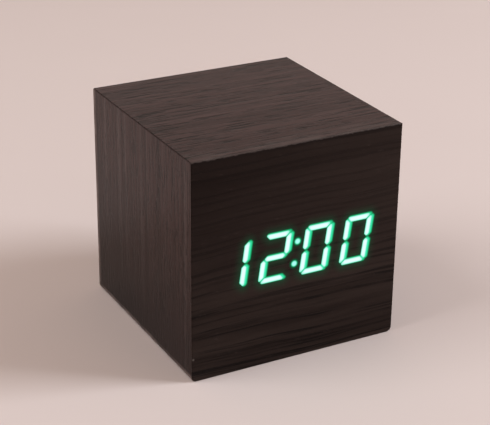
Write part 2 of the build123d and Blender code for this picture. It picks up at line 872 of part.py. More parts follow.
def all_pieces():
    cube = rounded_cube()
    figures = lit_figures()
    lower, middle, upper = cells()
    positive, negative = terminal_places()
    pieces = {
        "top_board": side_board(cube, 0),
        "right_board": side_board(cube, 90),
        "bottom_board": side_board(cube, 180),
        "left_board": side_board(cube, 270),
        "front_board": front_board(cube),
        "front_film": front_film(cube, figures),
        **figures,
        "diffuser_sheet": diffuser_sheet(),
        "display_reflector": display_reflector(),
        "segment_lights": segment_lights(),
        "display_board": display_board(),
        "display_screws": display_screws(),
        "controller_chip": controller_chip(),
        "watch_crystal": watch_crystal(),
        "buzzer": buzzer(),
        "segment_resistors": segment_resistors(),
        "display_header": header(display_header_z, display_board_back, display_board_back + header_height),
        "control_header": header(row_z, control_front - header_height, control_front),
        "ribbon_cable": ribbon_cable(),
        "corner_blocks": corner_blocks(),
        "back_panel": back_panel(),
        "panel_screws": panel_screws(),
        "lower_cell": lower,
        "middle_cell": middle,
        "upper_cell": upper,
        "cell_springs": cell_springs(),
        "bridge_contacts": bridge_contacts(),
        "terminal_contacts": terminal_contacts(),
        "positive_lead": lead(*positive, lead_place),
        "negative_lead": lead(*negative, -lead_place),
        "battery_door": battery_door(),
        "control_board": control_board(),
        "control_screws": control_screws(),
        "switch_bodies": switch_bodies(),
        "microphone": microphone(),
        "inlet_housing": inlet_housing(),
        "inlet_pin": inlet_pin_piece(),
        "inlet_leaf": inlet_leaf_piece(),
    }
    for name, x in button_places.items():
        pieces[f"{name}_button"] = button(x)
        pieces[f"{name}_plunger"] = plunger(x)
    return pieces


os.makedirs("parts", exist_ok=True)
for name, piece in all_pieces().items():
    export_step(piece, f"parts/{name}.step")
    print(name, len(piece.solids()), round(piece.volume, 2))
print("hinge", round(hinge_y, 3), round(hinge_z, 3), "row", round(row_z, 3), "edge", round(cube_edge, 3))
print("button places", {name: round(x, 3) for name, x in button_places.items()}, "inlet", round(inlet_x, 3))
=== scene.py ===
import math

import bmesh
import bpy
import numpy as np
from mathutils import Matrix, Vector


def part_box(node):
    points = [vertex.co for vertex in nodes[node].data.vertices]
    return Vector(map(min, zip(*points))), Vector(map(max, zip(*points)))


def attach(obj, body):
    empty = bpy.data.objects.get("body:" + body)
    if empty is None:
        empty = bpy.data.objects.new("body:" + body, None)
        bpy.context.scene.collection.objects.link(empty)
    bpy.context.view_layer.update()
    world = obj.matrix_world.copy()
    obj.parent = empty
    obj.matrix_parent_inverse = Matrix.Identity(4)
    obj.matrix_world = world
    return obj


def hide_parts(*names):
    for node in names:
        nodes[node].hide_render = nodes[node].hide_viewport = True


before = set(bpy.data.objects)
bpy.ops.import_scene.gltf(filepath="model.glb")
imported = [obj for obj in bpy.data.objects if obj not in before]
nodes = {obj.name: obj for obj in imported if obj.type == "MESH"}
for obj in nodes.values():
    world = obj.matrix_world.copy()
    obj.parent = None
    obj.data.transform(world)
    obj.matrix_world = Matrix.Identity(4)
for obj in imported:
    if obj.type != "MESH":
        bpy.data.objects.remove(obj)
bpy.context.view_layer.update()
mm = 0.001
black = (0.0, 0.0, 0.0)
noiseSpan = (0.3, 0.7)  # nearly all values of a noise lie between these
noiseMiddle = 0.5
print("frame in:", len(nodes), "nodes")


# node helpers, a socket or a plain value can go in anywhere

def startMaterial(name):
    material = bpy.data.materials.new(name)
    material.use_nodes = True
    tree = material.node_tree
    return material, tree, tree.nodes["Principled BSDF"]


def put(tree, kind, **settings):
    node = tree.nodes.new(kind)
    for key, value in settings.items():
        setattr(node, key, value)
    return node


def feed(tree, value, socket):
    if isinstance(value, bpy.types.NodeSocket):
        tree.links.new(value, socket)
    elif isinstance(value, (tuple, list)) and len(value) == 3 and socket.type == "RGBA":
        socket.default_value = (*value, 1.0)
    else:
        socket.default_value = value


def fill(tree, node, entries):
    for socket, value in entries.items():
        feed(tree, value, node.inputs[socket])


def place(tree):
    return put(tree, "ShaderNodeTexCoord").outputs["Object"]


def split(tree, vector):
    node = put(tree, "ShaderNodeSeparateXYZ")
    tree.links.new(vector, node.inputs["Vector"])
    return node.outputs


def axes(tree):
    return split(tree, place(tree))


def noise(tree, cell, detail=3.0, rough=0.5, warp=0.0, shift=(0, 0, 0), at=None):
    # cell is the size of one mark in mm along x, y, z
    scaled = put(tree, "ShaderNodeMapping")
    scaled.inputs["Scale"].default_value = [1000 / side for side in cell]
    scaled.inputs["Location"].default_value = shift
    tree.links.new(at or place(tree), scaled.inputs["Vector"])
    node = put(tree, "ShaderNodeTexNoise")
    fill(tree, node, {"Scale": 1.0, "Detail": detail, "Roughness": rough, "Distortion": warp})
    tree.links.new(scaled.outputs["Vector"], node.inputs["Vector"])
    return node.outputs["Fac"]


def remap(tree, value, low, high, toLow=0.0, toHigh=1.0):
    node = put(tree, "ShaderNodeMapRange")
    fill(tree, node, {"Value": value, "From Min": low, "From Max": high, "To Min": toLow, "To Max": toHigh})
    return node.outputs["Result"]


def ramp(tree, length, start, end, toLow=0.0, toHigh=1.0):
    # like remap, for a length in the frame, with its two ends in mm
    return remap(tree, length, start * mm, end * mm, toLow, toHigh)


def calc(tree, how, first, second=0.0, third=0.0):
    node = put(tree, "ShaderNodeMath", operation=how)
    fill(tree, node, {0: first, 1: second, 2: third})
    return node.outputs["Value"]


def times(tree, first, second):
    return calc(tree, "MULTIPLY", first, second)


def blendColour(tree, factor, first, second, how="MIX"):
    node = put(tree, "ShaderNodeMix", data_type="RGBA", blend_type=how)
    fill(tree, node, {0: factor, 6: first, 7: second})  # the colour sockets come after the plain ones
    return node.outputs[2]


def bumpy(tree, shader, height, strength, depth):
    node = put(tree, "ShaderNodeBump")
    fill(tree, node, {"Strength": strength, "Distance": depth * mm, "Height": height})
    tree.links.new(node.outputs["Normal"], shader.inputs["Normal"])


def dress(material, *names):
    for name in names:
        for slot in nodes[name].material_slots:
            slot.material = material


# mesh helpers

def joinRows(bm, rows):
    # strips of faces between closed rows of equal length
    count = len(rows[0])
    for first, second in zip(rows, rows[1:]):
        for i in range(count):
            j = (i + 1) % count
            bm.faces.new((first[i], first[j], second[j], second[i]))


def meshFrom(bm, name):
    mesh = bpy.data.meshes.new(name)
    bm.to_mesh(mesh)
    bm.free()
    return mesh


def circle(x, z, radius, count):
    angles = [math.tau * i / count for i in range(count)]
    return [(x + radius * math.cos(a), z + radius * math.sin(a)) for a in angles]


def addPiece(name, mesh, body, material):
    piece = bpy.data.objects.new(name, mesh)
    bpy.context.scene.collection.objects.link(piece)
    mesh.materials.append(material)
    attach(piece, body)
    return piece


# black wood-grain film on the four side boards

boardFilm = {
    "ground": (0.0300, 0.0162, 0.0147),
    "pale": (0.0490, 0.0274, 0.0252),
    "dash": (0.0020, 0.0009, 0.0008),
    "low": (0.0075, 0.0032, 0.0026),       # painted shade: the film drawn darker near the foot of the side boards
    "bright": (0.0750, 0.0520, 0.0490),    # thin long streaks
    "lineSize": (110.0, 1.4),              # length along the grain and width, mm
    "streakSize": (190.0, 1.5),
    "patchSize": (22.0, 7.0),
    "lineNoise": {"detail": 4.0, "rough": 0.62, "warp": 0.1},
    "dashNoise": {"detail": 2.0, "rough": 0.55, "warp": 0.06, "shift": (3.1, 1.7, 5.3)},
    "patchNoise": {"detail": 2.0, "warp": 0.3, "shift": (7.7, 2.9, 4.1)},
    "streakNoise": {"rough": 0.6, "shift": (9.1, 4.4, 2.2)},
    "streakCut": (0.58, 0.68),             # noise values where a streak starts and is full
    "dashCut": (0.49, 0.40),
    "patchCut": (0.36, 0.58),
    "sparse": 0.5,                         # share of the dashes' strength between patches
    "footShadeHeight": (52.0, 6.0),             # heights where the painted shade at the foot starts and is full, mm
    "footShadeDepth": (-32.0, 8.0, 0.66, 1.0),  # the painted shade grows from the front backwards
    "rough": (0.15, 0.23),
    "specular": 0.08,
    "lineRise": 0.6,                       # height of the lines against the depth of the dashes
    "bump": (0.7, 0.05),                   # strength, and depth in mm
}
# foot: strength of the painted shade at the foot of a board
acrossGrain = {
    "along": 0, "dashSize": (8.5, 0.62), "dash": 1.0, "lines": 0.085, "streaks": 0.45, "foot": 0.0,
}
uprightGrain = {
    "along": 2, "dashSize": (3.8, 0.75), "dash": 0.55, "lines": 0.10, "streaks": 0.8, "foot": 0.95,
}
smudges = {  # pale smudges where the film turns over the front edge
    "tone": (0.085, 0.066, 0.060),
    "size": (5.5, 1.8, 1.8),
    "cut": (0.42, 0.70, 0.16, 0.85),
    "edge": (-31.4, -24.5, 0.7, 0.0),
}
edgeHighlight = {  # painted highlight: the left board's rounded back edge and its edge along the floor drawn pale in patches
    "tone": (0.225, 0.172, 0.156),
    "size": (3, 6, 6),
    "cut": (0.35, 0.65, 0.30, 0.95),
    "side": (31.2, 31.7),
    "back": (29.6, 31.2),
    "floor": (2.2, 0.7),
}


def alongGrain(size, along):
    cell = [size[1]] * 3
    cell[along] = size[0]
    return cell


def smudgedEdge(tree, parts, colour):
    edge = ramp(tree, parts["Y"], *smudges["edge"])
    speck = remap(tree, noise(tree, smudges["size"]), *smudges["cut"])
    return blendColour(tree, times(tree, edge, speck), colour, smudges["tone"])


def paintedEdgeHighlight(tree, parts, colour):
    # painted highlight where the rounded edges catch the light, pale in patches
    side = ramp(tree, calc(tree, "ABSOLUTE", parts["X"]), *edgeHighlight["side"])
    back = ramp(tree, parts["Y"], *edgeHighlight["back"])
    rim = calc(tree, "MAXIMUM", back, ramp(tree, parts["Z"], *edgeHighlight["floor"]))
    highlightPatch = remap(tree, noise(tree, edgeHighlight["size"]), *edgeHighlight["cut"])
    return blendColour(tree, times(tree, times(tree, rim, side), highlightPatch), colour, edgeHighlight["tone"])


def filmOnBoard(name, grain, wear=None):
    look, along = boardFilm, grain["along"]
    material, tree, shader = startMaterial(name)
    parts = axes(tree)
    line = noise(tree, alongGrain(look["lineSize"], along), **look["lineNoise"])
    dash = noise(tree, alongGrain(grain["dashSize"], along), **look["dashNoise"])
    patch = noise(tree, alongGrain(look["patchSize"], along), **look["patchNoise"])
    streak = noise(tree, alongGrain(look["streakSize"], along), **look["streakNoise"])
    lines = remap(tree, line, noiseMiddle - grain["lines"], noiseMiddle + grain["lines"])
    colour = blendColour(tree, lines, look["ground"], look["pale"])
    streaks = remap(tree, streak, *look["streakCut"], 0.0, grain["streaks"])
    colour = blendColour(tree, streaks, colour, look["bright"])
    # painted shade: the side boards drawn darker towards the foot, more so towards the back
    if grain["foot"]:
        foot = ramp(tree, parts["Z"], *look["footShadeHeight"], 0.0, grain["foot"])
        foot = times(tree, foot, ramp(tree, parts["Y"], *look["footShadeDepth"]))
        colour = blendColour(tree, foot, colour, look["low"])
    patches = remap(tree, patch, *look["patchCut"], look["sparse"] * grain["dash"], grain["dash"])
    cut = times(tree, remap(tree, dash, *look["dashCut"]), patches)
    colour = blendColour(tree, cut, colour, look["dash"])
    # edge marks: worn smudges on the top and bottom boards, painted highlight on the left board
    if wear:
        colour = wear(tree, parts, colour)
    fill(tree, shader, {
        "Base Color": colour,
        "Roughness": remap(tree, line, *noiseSpan, *look["rough"]),
        "Specular IOR Level": look["specular"],
    })
    bumpy(tree, shader, calc(tree, "SUBTRACT", times(tree, line, look["lineRise"]), cut), *look["bump"])
    return material


dress(filmOnBoard("filmAcross", acrossGrain, smudgedEdge), "top_board", "bottom_board")
dress(filmOnBoard("filmUprightLeft", uprightGrain, paintedEdgeHighlight), "left_board")
dress(filmOnBoard("filmUprightRight", uprightGrain), "right_board")
print("side boards wrapped")


# lit figures: each bar is a pale core over a green fringe drawn out to the right

figures = {  # lengths in mm
    "centre": (-0.55, 32.2),
    "pitch": 12.7,
    "slope": math.tan(math.radians(8)),
    "halfWidth": 4.2,
    "halfHeight": 7.1,
    "bar": 1.5,
    "gap": 0.35 / math.sqrt(2),
    "corner": 1.0,                         # cut of a figure's upper left and lower right corners
    "tip": 1.1,                            # cut of the other two
    "dot": 0.85,
    "dotPoints": 32,
    "dotHeight": 3.25,
    "front": -32.0,
    "film": -31.985,
    "fringeStart": (0.06, 0.04),
    "fringeEnd": (0.53, 0.10),             # the fringe is drawn out to the right and up
    "coreShift": (-0.115, -0.035),
    "soft": 0.36,                          # rounding of a bar's corners
    "roundest": 0.48,                      # its limit, as a share of the bar's width
    "arc": 6,
    "spokes": 72,
    "filmTone": (0.0095, 0.0052, 0.0040),  # film under the faint outer light
    "cover": (0.015, 0.05),                # green light in which that film is lost
    "veilSize": (9, 9, 0.8),               # the grain of the film dims the light a little
    "veil": (0.94, 1.0),
    "rough": 0.3,
    "specular": 0.10,
}
litBars = {"1": "bc", "2": "abdeg", "0": "abcdef"}  # a on top, the others clockwise, g in the middle

# rings of light from the outside in: how far a bar's outline is moved out, and its light there
fringeRings = [
    (0.90, (0.0033, 0.019, 0.009)),
    (0.64, (0.0010, 0.035, 0.012)),
    (0.45, (0.0008, 0.054, 0.019)),
    (0.30, (0.0015, 0.110, 0.037)),
    (0.16, (0.004, 0.250, 0.090)),
    (0.02, (0.010, 0.470, 0.180)),
    (-0.15, (0.022, 0.700, 0.305)),
    (-0.34, (0.050, 0.850, 0.460)),
]
coreRings = [
    (0.03, (0.110, 0.760, 0.460)),
    (-0.06, (0.300, 0.930, 0.720)),
    (-0.16, (0.480, 1.000, 0.880)),
    (-0.29, (0.670, 1.030, 0.990)),
    (-0.45, (0.840, 1.050, 1.040)),
]
dotRings = [
    (0.80, (0.0033, 0.019, 0.009)),
    (0.48, (0.0010, 0.045, 0.016)),
    (0.28, (0.001, 0.100, 0.035)),
    (0.12, (0.004, 0.270, 0.100)),
    (-0.04, (0.050, 0.660, 0.350)),
    (-0.24, (0.330, 0.980, 0.800)),
    (-0.50, (0.420, 1.020, 0.940)),
]
tiny = 1e-9       # less than any true side or turn of an outline
parallel = 1e-12  # a spoke and a side closer to parallel than this don't meet
slack = 1e-6      # share of a side past its ends where a spoke still meets it


def barOutlines():
    wide, high, thick = figures["halfWidth"], figures["halfHeight"], figures["bar"]
    gap, corner, tip = figures["gap"], figures["corner"], figures["tip"]
    bars = {}
    bars["a"] = [
        (-wide + corner, high),
        (wide - tip, high),
        (wide - (tip + gap) / 2, high - (tip - gap) / 2),
        (wide - thick - gap, high - thick),
        (-wide + thick + gap, high - thick),
        (-wide + (corner + gap) / 2, high - (corner - gap) / 2),
    ]
    low = [
        (wide, thick / 2 + gap),
        (wide - thick / 2, gap),
        (wide - thick, thick / 2 + gap),
        (wide - thick, high - thick - gap),
    ]
    bars["b"] = [(wide, high - tip)] + low + [(wide - (tip - gap) / 2, high - (tip + gap) / 2)]
    left = [(wide, high - corner)] + low + [(wide - (corner - gap) / 2, high - (corner + gap) / 2)]
    bars["f"] = [(-u, v) for u, v in left]
    half = [(wide - thick - gap, thick / 2), (wide - thick / 2 - gap, 0), (wide - thick - gap, -thick / 2)]
    bars["g"] = half + [(-u, v) for u, v in reversed(half)]
    for lower, upper in zip("dec", "abf"):
        bars[lower] = [(-u, -v) for u, v in bars[upper]]
    return bars


def leaned(points, middle):
    x, z = figures["centre"]
    return [(x + middle + u + figures["slope"] * v, z + v) for u, v in points]


def moved(ring, by):
    return [(x + by[0], z + by[1]) for x, z in ring]


def turn(a, b, c):
    return (b[0] - a[0]) * (c[1] - a[1]) - (b[1] - a[1]) * (c[0] - a[0])


def hull(points):
    points = sorted(set(points))
    ring = []
    for run in (points, points[::-1]):
        part = []
        for p in run:
            while len(part) > 1 and turn(part[-2], part[-1], p) <= tiny:
                part.pop()
            part.append(p)
        ring += part[:-1]
    return ring


def grown(ring, by):
    # every side of a convex ring moved out by the same amount, in when negative
    lines = []
    for a, b in zip(ring, ring[1:] + ring[:1]):
        run = (Vector(b) - Vector(a)).normalized()
        out = Vector((run.y, -run.x))
        lines.append((Vector(a) + out * by, run))
    corners = []
    for i in range(len(ring)):
        (p, r), (q, s) = lines[i - 1], lines[i]
        cross = r.x * s.y - r.y * s.x
        gap = q - p
        step = (gap.x * s.y - gap.y * s.x) / cross
        corners.append(tuple(p + r * step))
    return corners


def shrunk(ring, by):
    # every side of a convex ring moved in, short sides may vanish
    shape = [Vector(p) for p in ring]
    for a, b in zip(ring, ring[1:] + ring[:1]):
        run = (Vector(b) - Vector(a)).normalized()
        inward = Vector((-run.y, run.x))
        reach = [(p - Vector(a)).dot(inward) - by for p in shape]
        kept = []
        for i, p in enumerate(shape):
            q, here, there = shape[i - 1], reach[i], reach[i - 1]
            if here * there < 0:
                kept.append(q + (p - q) * (there / (there - here)))
            if here >= 0:
                kept.append(p)
        shape = kept
    return shape


def softened(ring, by):
    # the ring moved out by some amount, with an arc at every corner
    radius = min(figures["soft"], figures["roundest"] * figures["bar"] + by)
    steps = figures["arc"]
    inner = shrunk(ring, radius - by)
    points = []
    for i, corner in enumerate(inner):
        before = corner - inner[i - 1]
        after = inner[(i + 1) % len(inner)] - corner
        first = math.atan2(-before.x, before.y)
        sweep = (math.atan2(-after.x, after.y) - first) % math.tau
        for k in range(steps):
            a = first + sweep * k / (steps - 1)
            points.append(corner + radius * Vector((math.cos(a), math.sin(a))))
    return points


def spokes(ring, count):
    # directions from the middle of a ring to points spaced evenly along it
    middle = sum(ring, Vector((0, 0))) / len(ring)
    spans = [(b - a).length for a, b in zip(ring, ring[1:] + ring[:1])]
    ways, at, side = [], 0.0, 0
    for i in range(count):
        goal = sum(spans) * i / count
        while at + spans[side] < goal:
            at += spans[side]
            side += 1
        a, b = ring[side], ring[(side + 1) % len(ring)]
        ways.append((a + (b - a) * ((goal - at) / max(spans[side], tiny)) - middle).normalized())
    return middle, ways


def metBy(middle, ways, ring):
    # where each spoke leaves a convex ring
    points = []
    for way in ways:
        for a, b in zip(ring, ring[1:] + ring[:1]):
            run = b - a
            cross = way.x * run.y - way.y * run.x
            if cross <= parallel:
                continue
            gap = a - middle
            along = (gap.x * way.y - gap.y * way.x) / cross
            if -slack <= along <= 1 + slack:
                points.append(middle + way * ((gap.x * run.y - gap.y * run.x) / cross))
                break
    return points


def barRings(shape, rings):
    outlines = [softened(shape, by) for by, _ in rings]
    middle, ways = spokes(outlines[0], figures["spokes"])
    return [metBy(middle, ways, outline) for outline in outlines]


def addRings(bm, layer, outlines, rings, back, front):
    # nested outlines joined by strips that rise inwards from the film,
    # so where the light of two bars meets, the brighter stays on top
    rows = []
    rise = (front - back) / (len(outlines) - 1)
    for i, (points, (_, light)) in enumerate(zip(outlines, rings)):
        row = []
        for x, z in points:
            vert = bm.verts.new((x * mm, (back + rise * i) * mm, z * mm))
            vert[layer] = (*light, 1.0)
            row.append(vert)
        rows.append(row)
    joinRows(bm, rows)
    bm.faces.new(rows[-1])
    bm.faces.new(rows[0][::-1])


def figureMesh(name, outlines, dots):
    bm = bmesh.new()
    layer = bm.verts.layers.float_color.new("light")
    film, front = figures["film"], figures["front"]
    middle = (film + front) / 2
    for outline in outlines:
        ring = hull(outline)
        fringe = hull(moved(ring, figures["fringeStart"]) + moved(ring, figures["fringeEnd"]))
        core = moved(ring, figures["coreShift"])
        addRings(bm, layer, barRings(fringe, fringeRings), fringeRings, film, middle)
        addRings(bm, layer, barRings(core, coreRings), coreRings, middle, front)
    for x, z in dots:
        ring = circle(x, z, figures["dot"], figures["dotPoints"])
        addRings(bm, layer, [grown(ring, by) for by, _ in dotRings], dotRings, film, front)
    return meshFrom(bm, name)


def greyOf(tree, value):
    node = put(tree, "ShaderNodeCombineColor")
    fill(tree, node, {0: value, 1: value, 2: value})
    return node.outputs["Color"]


def litLight():
    material, tree, shader = startMaterial("litFigure")
    light = put(tree, "ShaderNodeAttribute", attribute_name="light").outputs["Color"]
    veil = remap(tree, noise(tree, figures["veilSize"]), *noiseSpan, *figures["veil"])
    tones = put(tree, "ShaderNodeSeparateColor")
    tree.links.new(light, tones.inputs["Color"])
    bright = remap(tree, tones.outputs["Green"], *figures["cover"])
    fill(tree, shader, {
        "Base Color": blendColour(tree, bright, figures["filmTone"], black),
        "Emission Color": blendColour(tree, 1.0, light, greyOf(tree, veil), "MULTIPLY"),
        "Emission Strength": 1.0,
        "Roughness": figures["rough"],
        "Specular IOR Level": figures["specular"],
    })
    return material


shown = [
    ("hours_tens_digit", "1"),
    ("hours_units_digit", "2"),
    ("minutes_tens_digit", "0"),
    ("minutes_units_digit", "0"),
]
bars = barOutlines()
litMaterial = litLight()
allLit = []
for number, (node, figure) in enumerate(shown):
    middle = (number - (len(shown) - 1) / 2) * figures["pitch"]
    outlines = [leaned(bars[bar], middle) for bar in litBars[figure]]
    allLit += outlines
    mesh = figureMesh(node, outlines, [])
    piece = addPiece(node.replace("_digit", "_light"), mesh, "case", litMaterial)
    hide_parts(node)
dots = leaned([(0, figures["dotHeight"]), (0, -figures["dotHeight"])], 0)
piece = addPiece("colon_light", figureMesh("colon", [], dots), "case", litMaterial)
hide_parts("colon_dots")
print("figures lit:", len(allLit), "bars")


# front film, one sheet over the whole face, with the light that spreads in it

frontFilm = {
    "half": 32.0,
    "lowCorner": 1.3,
    "edge": 0.25,                          # rounding of the rim, mm
    "rimRings": (1.0, 0.62, 0.29, 0.08, 0.0),  # where it has rings of points, as shares of it
    "back": -31.7,
    "steps": 240,
    "rings": 60,
    "spread": 3.2,                         # how far the light runs in the film, mm
    "glow": (0.0060, 0.0380, 0.0170),
    "ground": (0.0066, 0.0026, 0.0017),
    "band": (0.0252, 0.0164, 0.0134),
    "line": (0.0022, 0.0009, 0.0007),
    "fleck": (0.040, 0.0280, 0.0250),
    "trim": (0.048, 0.036, 0.033),         # cut edge of the film along the top
    "shade": (0.0030, 0.0011, 0.0008),     # painted shadow: a dark line below the cut edge
    "lit": (0.0020, 0.0022, 0.0016),       # film close beside the lit bars
    "chip": (-31.6, 6.9, 0.42),            # x, z and radius of a chip in the left edge, mm
    "chipped": (0.105, 0.090, 0.082),
    "chipSoft": (0.5, 0.9),                # where it is full, as a share of the radius, and its strength
    "sway": 4.5,                           # how far the grain lines wander, mm
    "swayNoise": {"cell": (42, 60, 26), "detail": 1.0},
    "lineStep": 2.1,                       # height from one grain line to the next, mm
    "ripple": 0.085,                       # share of even steps in the lines
    "drift": 9.0,                          # how far the lines stray from even steps, radians
    "driftNoise": {"cell": (34, 60, 11), "detail": 2.0, "shift": (4.2, 0, 1.3)},
    "bandNoise": {"cell": (80, 60, 4.4), "rough": 0.55, "warp": 0.15},
    "grainNoise": {"cell": (58, 60, 0.85), "rough": 0.6, "warp": 0.15, "shift": (2.3, 0, 6.1)},
    "fadeNoise": {"cell": (20, 60, 5), "detail": 2.0, "shift": (5.5, 0, 3.2)},
    "fleckNoise": {"cell": (2.4, 60, 0.5), "detail": 2.0, "rough": 0.6, "shift": (1.9, 0, 7.7)},
    "nickNoise": {"cell": (0.8, 60, 60), "rough": 0.6},
    "bandCut": (0.36, 0.64, -0.22, 0.51),  # noise values, and the tones that they give
    "lineCut": (0.53, 0.37),
    "fadeCut": (0.35, 0.6, 0.40, 0.86),
    "fleckCut": (0.66, 0.76, 0.0, 0.5),
    "nickCut": (0.35, 0.65, -0.19 * mm, 0.15 * mm),
    "clear": (44.0, 18.0, 0.38, 1.0),      # the lines are clearer low down
    "right": (-32.0, 32.0, 0.0, 0.56),     # painted light: the film is drawn paler to the right
    "rightHeight": (8.0, 44.0),            # and there more so higher up
    "upper": (62.0, 34.0, 0.05, 0.38),     # painted shade: darker near the top
    "foot": (17.0, 4.0),                   # painted light: paler again along the foot
    "footTone": (30.0, -24.0, 0.08, 0.34),  # and there more so to the left
    "shadowLineHeight": (62.6, 63.5, 0.0, 0.55),
    "trimHeight": (63.70, 63.88, 0.0, 0.9),
    "rough": (0.24, 0.36),
    "specular": 0.10,
    "bump": (0.6, 0.04),
}


def faceOutline(share):
    # once round the face, square at the top, rounded at the two low corners
    side, along = divmod(share * 4, 1)
    half, radius = frontFilm["half"], frontFilm["lowCorner"]
    u = (along * 2 - 1) * half
    x, z = [(u, -half), (half, u), (-u, half), (-half, -u)][int(side)]
    cornerX, cornerZ = math.copysign(half - radius, x), radius - half
    if abs(x) > abs(cornerX) and z < cornerZ:
        away = Vector((x - cornerX, z - cornerZ)).normalized() * radius
        x, z = cornerX + away.x, cornerZ + away.y
    return x, z


def lightReach(points):
    # distance from each point to the nearest lit bar, zero inside one
    least = np.full(len(points), np.inf)
    for outline in allLit:
        ring = np.array(hull(outline))
        inside = np.ones(len(points), bool)
        for a, b in zip(ring, np.roll(ring, -1, 0)):
            run = b - a
            away = points - a
            t = np.clip(away @ run / (run @ run), 0, 1)
            least = np.minimum(least, np.linalg.norm(away - t[:, None] * run, axis=1))
            inside &= run[0] * away[:, 1] - run[1] * away[:, 0] > 0
        least[inside] = 0
    return least


def frontFilmMesh():
    sheet = frontFilm
    half, edge, count, front = sheet["half"], sheet["edge"], sheet["steps"], figures["film"]
    outline = [faceOutline(i / count) for i in range(count)]
    shares = [i / sheet["rings"] for i in range(1, sheet["rings"])]
    shares += [1 - part * edge / half for part in sheet["rimRings"]]
    bm = bmesh.new()

    def addRow(share, y):
        return [bm.verts.new((x * share * mm, y * mm, (half + z * share) * mm)) for x, z in outline]

    hub = bm.verts.new((0, front * mm, half * mm))
    rows = []
    for share in sorted(shares):
        inset = (1 - share) * half
        drop = edge - math.sqrt(max(edge * edge - (edge - inset) ** 2, 0)) if inset < edge else 0
        rows.append(addRow(share, front + drop))
    rows.append(addRow(1.0, sheet["back"]))
    for i in range(count):
        bm.faces.new((hub, rows[0][i], rows[0][(i + 1) % count]))
    for inner, outer in zip(rows, rows[1:]):
        for i in range(count):
            j = (i + 1) % count
            bm.faces.new((inner[i], outer[i], outer[j], inner[j]))
    bm.faces.new(rows[-1][::-1])
    bmesh.ops.recalc_face_normals(bm, faces=bm.faces)
    mesh = meshFrom(bm, "frontFilm")
    points = np.array([(v.co.x / mm, v.co.z / mm) for v in mesh.vertices])
    glow = np.clip(1 - lightReach(points) / sheet["spread"], 0, 1) ** 2
    layer = mesh.attributes.new("spread", "FLOAT", "POINT")
    layer.data.foreach_set("value", glow.astype(np.float32))
    mesh.polygons.foreach_set("use_smooth", [True] * len(mesh.polygons))
    return mesh


def swayed(tree):
    # frame coordinates with the height moved up and down along x, so that grain lines wander
    parts = axes(tree)
    sway = calc(tree, "SUBTRACT", noise(tree, **frontFilm["swayNoise"]), noiseMiddle)
    height = calc(tree, "ADD", parts["Z"], times(tree, sway, frontFilm["sway"] * mm))
    joined = put(tree, "ShaderNodeCombineXYZ")
    fill(tree, joined, {"X": parts["X"], "Y": parts["Y"], "Z": height})
    return joined.outputs["Vector"]


def paintedFaceLight(tree, parts):
    # painted light and shade: how pale the film is drawn from place to place on the face
    sheet = frontFilm
    right = ramp(tree, parts["X"], *sheet["right"])
    right = times(tree, right, ramp(tree, parts["Z"], *sheet["rightHeight"]))
    tone = calc(tree, "ADD", right, ramp(tree, parts["Z"], *sheet["upper"]))
    foot = ramp(tree, parts["Z"], *sheet["foot"])
    foot = times(tree, foot, ramp(tree, parts["X"], *sheet["footTone"]))
    return calc(tree, "ADD", tone, foot)


def cutEdge(tree, parts, colour):
    # the ragged cut along the top, with a painted shadow line below it
    nick = remap(tree, noise(tree, **frontFilm["nickNoise"]), *frontFilm["nickCut"])
    ragged = calc(tree, "ADD", parts["Z"], nick)
    colour = blendColour(tree, ramp(tree, ragged, *frontFilm["shadowLineHeight"]), colour, frontFilm["shade"])
    return blendColour(tree, ramp(tree, ragged, *frontFilm["trimHeight"]), colour, frontFilm["trim"])


def chippedSpot(tree, colour):
    x, z, radius = frontFilm["chip"]
    full, strength = frontFilm["chipSoft"]
    away = put(tree, "ShaderNodeVectorMath", operation="DISTANCE")
    fill(tree, away, {0: place(tree), 1: (x * mm, figures["front"] * mm, z * mm)})
    chip = ramp(tree, away.outputs["Value"], radius, full * radius, 0.0, strength)
    return blendColour(tree, chip, colour, frontFilm["chipped"])


def filmOnFront():
    sheet = frontFilm
    material, tree, shader = startMaterial("filmOnFront")
    parts = axes(tree)
    at = swayed(tree)
    band = noise(tree, at=at, **sheet["bandNoise"])
    grain = noise(tree, at=at, **sheet["grainNoise"])
    drift = times(tree, noise(tree, **sheet["driftNoise"]), sheet["drift"])
    phase = calc(tree, "MULTIPLY_ADD", split(tree, at)["Z"], math.tau / (sheet["lineStep"] * mm), drift)
    line = calc(tree, "MULTIPLY_ADD", calc(tree, "SINE", phase), sheet["ripple"], grain)
    clear = ramp(tree, parts["Z"], *sheet["clear"])
    bands = remap(tree, band, *sheet["bandCut"])
    # grain bands plus the painted light and shade of the face
    light = calc(tree, "MULTIPLY_ADD", bands, clear, paintedFaceLight(tree, parts))
    colour = blendColour(tree, light, sheet["ground"], sheet["band"])
    fade = remap(tree, noise(tree, **sheet["fadeNoise"]), *sheet["fadeCut"])
    dark = times(tree, remap(tree, line, *sheet["lineCut"]), times(tree, clear, fade))
    colour = blendColour(tree, dark, colour, sheet["line"])
    flecks = remap(tree, noise(tree, **sheet["fleckNoise"]), *sheet["fleckCut"])
    colour = blendColour(tree, flecks, colour, sheet["fleck"])
    colour = chippedSpot(tree, cutEdge(tree, parts, colour))
    spread = put(tree, "ShaderNodeAttribute", attribute_name="spread").outputs["Fac"]
    fill(tree, shader, {
        "Base Color": blendColour(tree, spread, colour, sheet["lit"]),
        "Emission Color": blendColour(tree, spread, black, sheet["glow"]),
        "Emission Strength": 1.0,
        "Roughness": remap(tree, line, *noiseSpan, *sheet["rough"]),
        "Specular IOR Level": sheet["specular"],
    })
    bumpy(tree, shader, calc(tree, "SUBTRACT", band, dark), *sheet["bump"])
    return material


film = addPiece("front_film_sheet", frontFilmMesh(), "case", filmOnFront())
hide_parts("front_film")
print("front film laid:", len(film.data.vertices), "points")


# moulded plastics: two tones, roughness, size and depth of the grain in mm, and the nodes

